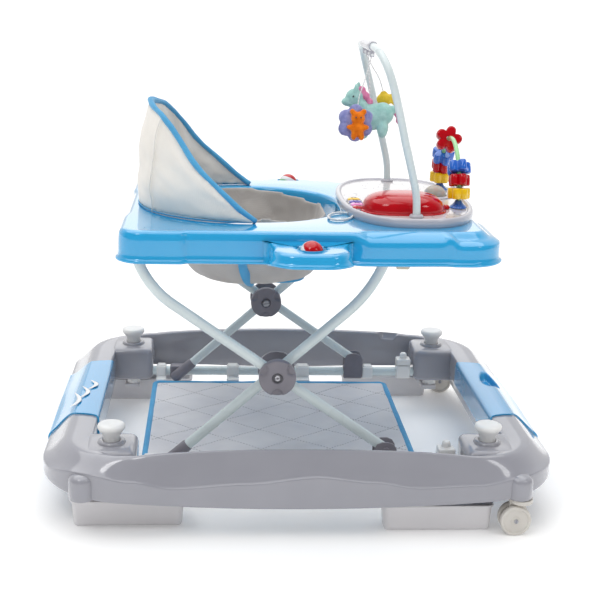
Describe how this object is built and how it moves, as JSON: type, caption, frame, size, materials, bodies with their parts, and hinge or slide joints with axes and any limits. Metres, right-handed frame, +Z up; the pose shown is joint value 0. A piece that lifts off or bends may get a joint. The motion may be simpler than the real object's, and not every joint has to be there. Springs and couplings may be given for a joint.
{
  "type": "baby walker",
  "caption": "Rocking baby walker: rounded ring base on casters, scissor frame, lobed tray with toy panel and arch, sling seat with hood back.",
  "frame": {"origin": "on the floor below the middle of the base ring", "axes": "+X towards the front of the walker, where the toy panel is; +Y towards its left side; +Z up"},
  "size_m": [0.7, 0.604, 0.6234],
  "materials": {
    "ring_plastic": "gloss",
    "blue_plastic": "gloss",
    "white_tube": "satin",
    "white_plastic": "satin",
    "mat_fabric": "woven",
    "grey_plastic": "satin",
    "beige_plastic": "satin",
    "pad_plastic": "satin",
    "wheel_plastic": "satin",
    "bolt_steel": "brushed",
    "seat_fabric": "woven",
    "cream_fabric": "woven",
    "panel_plastic": "gloss",
    "red_plastic": "gloss",
    "green_plastic": "gloss",
    "cord": "braided",
    "mint_plush": "plush",
    "purple_plush": "plush",
    "yellow_plush": "plush",
    "yellow_plastic": "gloss",
    "deep_blue_plastic": "gloss",
    "purple_plastic": "gloss",
    "pink_plastic": "gloss"
  },
  "bodies": {
    "base": {"base_ring": "ring_plastic", "end_covers": "blue_plastic", "rails": "white_tube", "mat_clips": "white_plastic", "foot_mat": "mat_fabric", "latch_blocks": "white_plastic", "rail_pivots": "grey_plastic", "rear_forks": "beige_plastic"},
    "rear_wheel_right": {"rear_wheel_right": "wheel_plastic"},
    "caster_right": {"front_fork_right": "wheel_plastic"},
    "front_wheel_right": {"front_wheel_right": "wheel_plastic"},
    "latch_button_right": {"latch_button_right": "white_plastic"},
    "stop_rear_right": {"stop_pad_rear_right": "pad_plastic", "knob_rear_right": "white_plastic"},
    "stop_front_right": {"stop_pad_front_right": "pad_plastic", "knob_front_right": "white_plastic"},
    "rear_wheel_left": {"rear_wheel_left": "wheel_plastic"},
    "caster_left": {"front_fork_left": "wheel_plastic"},
    "front_wheel_left": {"front_wheel_left": "wheel_plastic"},
    "latch_button_left": {"latch_button_left": "white_plastic"},
    "stop_rear_left": {"stop_pad_rear_left": "pad_plastic", "knob_rear_left": "white_plastic"},
    "stop_front_left": {"stop_pad_front_left": "pad_plastic", "knob_front_left": "white_plastic"},
    "arm_a": {"frame_a": "white_tube", "frame_a_fittings": "grey_plastic"},
    "arm_b": {"frame_b": "white_tube", "hub_outer_discs": "grey_plastic", "hub_bolts": "bolt_steel"},
    "slider": {"slider_brackets": "grey_plastic", "front_mat_clips": "white_plastic"},
    "tray": {"tray_shell": "blue_plastic", "tray_bearings": "beige_plastic", "seat_sling": "seat_fabric", "seat_back": "cream_fabric", "panel_shell": "panel_plastic", "panel_domes": "red_plastic", "bead_tube": "green_plastic", "pull_loop": "cord"},
    "ball_right": {"rattle_ball_right": "red_plastic"},
    "ball_left": {"rattle_ball_left": "red_plastic"},
    "arch": {"arch_tube": "white_tube", "arch_clip": "grey_plastic"},
    "toy_pony": {"toy_pony": "mint_plush", "string_pony": "cord"},
    "toy_flower": {"toy_flower": "purple_plush", "string_flower": "cord"},
    "toy_fish": {"toy_fish": "yellow_plush", "string_fish": "cord"},
    "key_one": {"key_one": "yellow_plastic"},
    "key_two": {"key_two": "purple_plastic"},
    "key_three": {"key_three": "pink_plastic"},
    "key_four": {"key_four": "red_plastic"},
    "bead_near_yellow": {"bead_near_yellow": "yellow_plastic"},
    "bead_near_red": {"bead_near_red": "red_plastic"},
    "bead_near_blue": {"bead_near_blue": "deep_blue_plastic"},
    "bead_far_yellow": {"bead_far_yellow": "yellow_plastic"},
    "bead_far_red": {"bead_far_red": "red_plastic"},
    "bead_far_blue": {"bead_far_blue": "deep_blue_plastic"},
    "bead_top_red": {"bead_top_red": "red_plastic"}
  },
  "joints": [
    {"name": "rear_wheel_right_spin", "type": "hinge", "parent": "base", "child": "rear_wheel_right", "pos_m": [-0.268, -0.248, 0.02075], "axis": [0, 1, 0], "continuous": true},
    {"name": "caster_right_swivel", "type": "hinge", "parent": "base", "child": "caster_right", "pos_m": [0.29, -0.284, 0.05], "axis": [0, 0, 1], "continuous": true},
    {"name": "front_wheel_right_spin", "type": "hinge", "parent": "caster_right", "child": "front_wheel_right", "pos_m": [0.282, -0.284, 0.02075], "axis": [0, 1, 0], "continuous": true},
    {"name": "latch_right_press", "type": "slide", "parent": "base", "child": "latch_button_right", "axis": [0, 0, 1], "range_m": [-0.003, 0], "stiffness_N_per_m": 700},
    {"name": "stop_rear_right_lift", "type": "slide", "parent": "base", "child": "stop_rear_right", "axis": [0, 0, 1], "range_m": [0, 0.008]},
    {"name": "stop_front_right_lift", "type": "slide", "parent": "base", "child": "stop_front_right", "axis": [0, 0, 1], "range_m": [0, 0.008]},
    {"name": "rear_wheel_left_spin", "type": "hinge", "parent": "base", "child": "rear_wheel_left", "pos_m": [-0.268, 0.248, 0.02075], "axis": [0, 1, 0], "continuous": true},
    {"name": "caster_left_swivel", "type": "hinge", "parent": "base", "child": "caster_left", "pos_m": [0.29, 0.284, 0.05], "axis": [0, 0, 1], "continuous": true},
    {"name": "front_wheel_left_spin", "type": "hinge", "parent": "caster_left", "child": "front_wheel_left", "pos_m": [0.282, 0.284, 0.02075], "axis": [0, 1, 0], "continuous": true},
    {"name": "latch_left_press", "type": "slide", "parent": "base", "child": "latch_button_left", "axis": [0, 0, 1], "range_m": [-0.003, 0], "stiffness_N_per_m": 700},
    {"name": "stop_rear_left_lift", "type": "slide", "parent": "base", "child": "stop_rear_left", "axis": [0, 0, 1], "range_m": [0, 0.008]},
    {"name": "stop_front_left_lift", "type": "slide", "parent": "base", "child": "stop_front_left", "axis": [0, 0, 1], "range_m": [0, 0.008]},
    {"name": "height_adjust", "type": "hinge", "parent": "base", "child": "arm_a", "pos_m": [-0.1787, 0, 0.06099], "axis": [0, 1, 0], "range_deg": [-5, 10]},
    {"name": "scissor_cross", "type": "hinge", "parent": "arm_a", "child": "arm_b", "pos_m": [-0.0335, 0, 0.191], "axis": [0, 1, 0], "range_deg": [-19.81, 9.91]},
    {"name": "slider_tilt", "type": "hinge", "parent": "arm_b", "child": "slider", "pos_m": [0.117, 0, 0.08601], "axis": [0, 1, 0], "range_deg": [-4.91, 9.81]},
    {"name": "tray_level", "type": "hinge", "parent": "arm_b", "child": "tray", "pos_m": [-0.22327, 0, 0.36418], "axis": [0, 1, 0], "range_deg": [-4.91, 9.81]},
    {"name": "ball_right_spin", "type": "hinge", "parent": "tray", "child": "ball_right", "pos_m": [0.003, -0.262, 0.374], "axis": [1, 0, 0], "continuous": true},
    {"name": "ball_left_spin", "type": "hinge", "parent": "tray", "child": "ball_left", "pos_m": [0.003, 0.262, 0.374], "axis": [1, 0, 0], "continuous": true},
    {"name": "arch_lift", "type": "slide", "parent": "tray", "child": "arch", "axis": [0, 0, 1], "range_m": [0, 0.012]},
    {"name": "pony_swing", "type": "hinge", "parent": "arch", "child": "toy_pony", "pos_m": [0.097, 0, 0.606], "axis": [0, 1, 0], "range_deg": [-12, 12]},
    {"name": "flower_swing", "type": "hinge", "parent": "arch", "child": "toy_flower", "pos_m": [0.097, -0.04, 0.606], "axis": [0, 1, 0], "range_deg": [-12, 12]},
    {"name": "fish_swing", "type": "hinge", "parent": "arch", "child": "toy_fish", "pos_m": [0.097, 0.04, 0.606], "axis": [0, 1, 0], "range_deg": [-12, 12]},
    {"name": "key_one_press", "type": "slide", "parent": "tray", "child": "key_one", "axis": [0, 0, 1], "range_m": [-0.002, 0], "stiffness_N_per_m": 500},
    {"name": "key_two_press", "type": "slide", "parent": "tray", "child": "key_two", "axis": [0, 0, 1], "range_m": [-0.002, 0], "stiffness_N_per_m": 500},
    {"name": "key_three_press", "type": "slide", "parent": "tray", "child": "key_three", "axis": [0, 0, 1], "range_m": [-0.002, 0], "stiffness_N_per_m": 500},
    {"name": "key_four_press", "type": "slide", "parent": "tray", "child": "key_four", "axis": [0, 0, 1], "range_m": [-0.002, 0], "stiffness_N_per_m": 500},
    {"name": "bead_near_yellow_spin", "type": "hinge", "parent": "tray", "child": "bead_near_yellow", "pos_m": [0.224, -0.07372, 0.41945], "axis": [0, 0.0872, 0.9962], "continuous": true},
    {"name": "bead_near_red_spin", "type": "hinge", "parent": "tray", "child": "bead_near_red", "pos_m": [0.224, -0.06997, 0.43709], "axis": [0, 0.3256, 0.9455], "continuous": true},
    {"name": "bead_near_blue_spin", "type": "hinge", "parent": "tray", "child": "bead_near_blue", "pos_m": [0.224, -0.06206, 0.4533], "axis": [0, 0.5446, 0.8387], "continuous": true},
    {"name": "bead_far_yellow_spin", "type": "hinge", "parent": "tray", "child": "bead_far_yellow", "pos_m": [0.224, 0.07372, 0.41945], "axis": [0, 0.0872, -0.9962], "continuous": true},
    {"name": "bead_far_red_spin", "type": "hinge", "parent": "tray", "child": "bead_far_red", "pos_m": [0.224, 0.06997, 0.43709], "axis": [0, 0.3256, -0.9455], "continuous": true},
    {"name": "bead_far_blue_spin", "type": "hinge", "parent": "tray", "child": "bead_far_blue", "pos_m": [0.224, 0.06206, 0.4533], "axis": [0, 0.5446, -0.8387], "continuous": true},
    {"name": "bead_top_red_spin", "type": "hinge", "parent": "tray", "child": "bead_top_red", "pos_m": [0.224, 0.02772, 0.48161], "axis": [0, 0.9272, -0.3746], "continuous": true}
  ],
  "couplings": [
    {"joint": "scissor_cross", "follows": "height_adjust", "ratio": -1.98},
    {"joint": "slider_tilt", "follows": "height_adjust", "ratio": 0.98},
    {"joint": "tray_level", "follows": "height_adjust", "ratio": 0.98}
  ]
}
